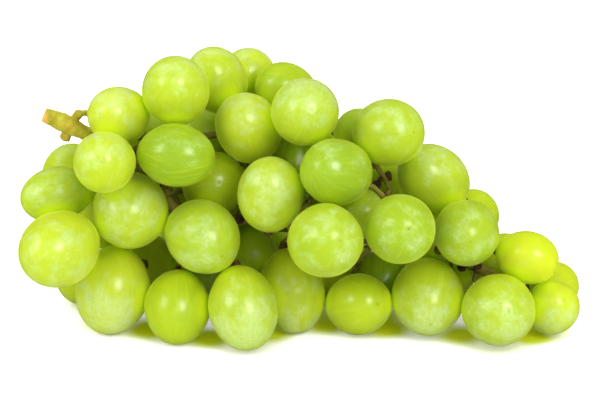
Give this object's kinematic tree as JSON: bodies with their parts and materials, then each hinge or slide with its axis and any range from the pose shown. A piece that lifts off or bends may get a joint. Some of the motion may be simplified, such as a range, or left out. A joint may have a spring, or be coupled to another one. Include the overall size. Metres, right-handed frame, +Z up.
{
  "type": "bunch of grapes",
  "caption": "Bunch of white table grapes lying on its side: oval berries, each on its own stalk, crowded round a branched stem that ends in a short cut stalk.",
  "frame": {"origin": "middle of the bunch's box, on the surface that the bunch lies on", "axes": "+X along the bunch from the cut stalk to the tip, +Z up, -Y the fuller side that faces the viewer"},
  "size_m": [0.1744, 0.0994, 0.0869],
  "materials": {
    "stem": "matt green wood going brown at its knuckles, with a pale dry cut end",
    "berry_skin": "translucent yellow-green skin with a soft sheen under a patchy whitish bloom"
  },
  "bodies": {
    "root": {"stem": "stem", "berry_01": "berry_skin", "berry_02": "berry_skin", "berry_03": "berry_skin", "berry_04": "berry_skin", "berry_05": "berry_skin", "berry_06": "berry_skin", "berry_07": "berry_skin", "berry_08": "berry_skin", "berry_09": "berry_skin", "berry_10": "berry_skin", "berry_11": "berry_skin", "berry_12": "berry_skin", "berry_13": "berry_skin", "berry_14": "berry_skin", "berry_15": "berry_skin", "berry_16": "berry_skin", "berry_17": "berry_skin", "berry_18": "berry_skin", "berry_19": "berry_skin", "berry_20": "berry_skin", "berry_21": "berry_skin", "berry_22": "berry_skin", "berry_23": "berry_skin", "berry_24": "berry_skin", "berry_25": "berry_skin", "berry_26": "berry_skin", "berry_27": "berry_skin", "berry_28": "berry_skin", "berry_29": "berry_skin", "berry_30": "berry_skin", "berry_31": "berry_skin", "berry_32": "berry_skin", "berry_33": "berry_skin", "berry_34": "berry_skin", "berry_35": "berry_skin", "berry_36": "berry_skin", "berry_37": "berry_skin", "berry_38": "berry_skin", "berry_39": "berry_skin", "berry_40": "berry_skin", "berry_41": "berry_skin", "berry_42": "berry_skin", "berry_43": "berry_skin", "berry_44": "berry_skin", "berry_45": "berry_skin", "berry_46": "berry_skin", "berry_47": "berry_skin", "berry_48": "berry_skin", "berry_49": "berry_skin", "berry_50": "berry_skin", "berry_51": "berry_skin", "berry_52": "berry_skin", "berry_53": "berry_skin", "berry_54": "berry_skin", "berry_55": "berry_skin", "berry_56": "berry_skin", "berry_57": "berry_skin", "berry_58": "berry_skin", "berry_59": "berry_skin"}
  },
  "joints": []
}
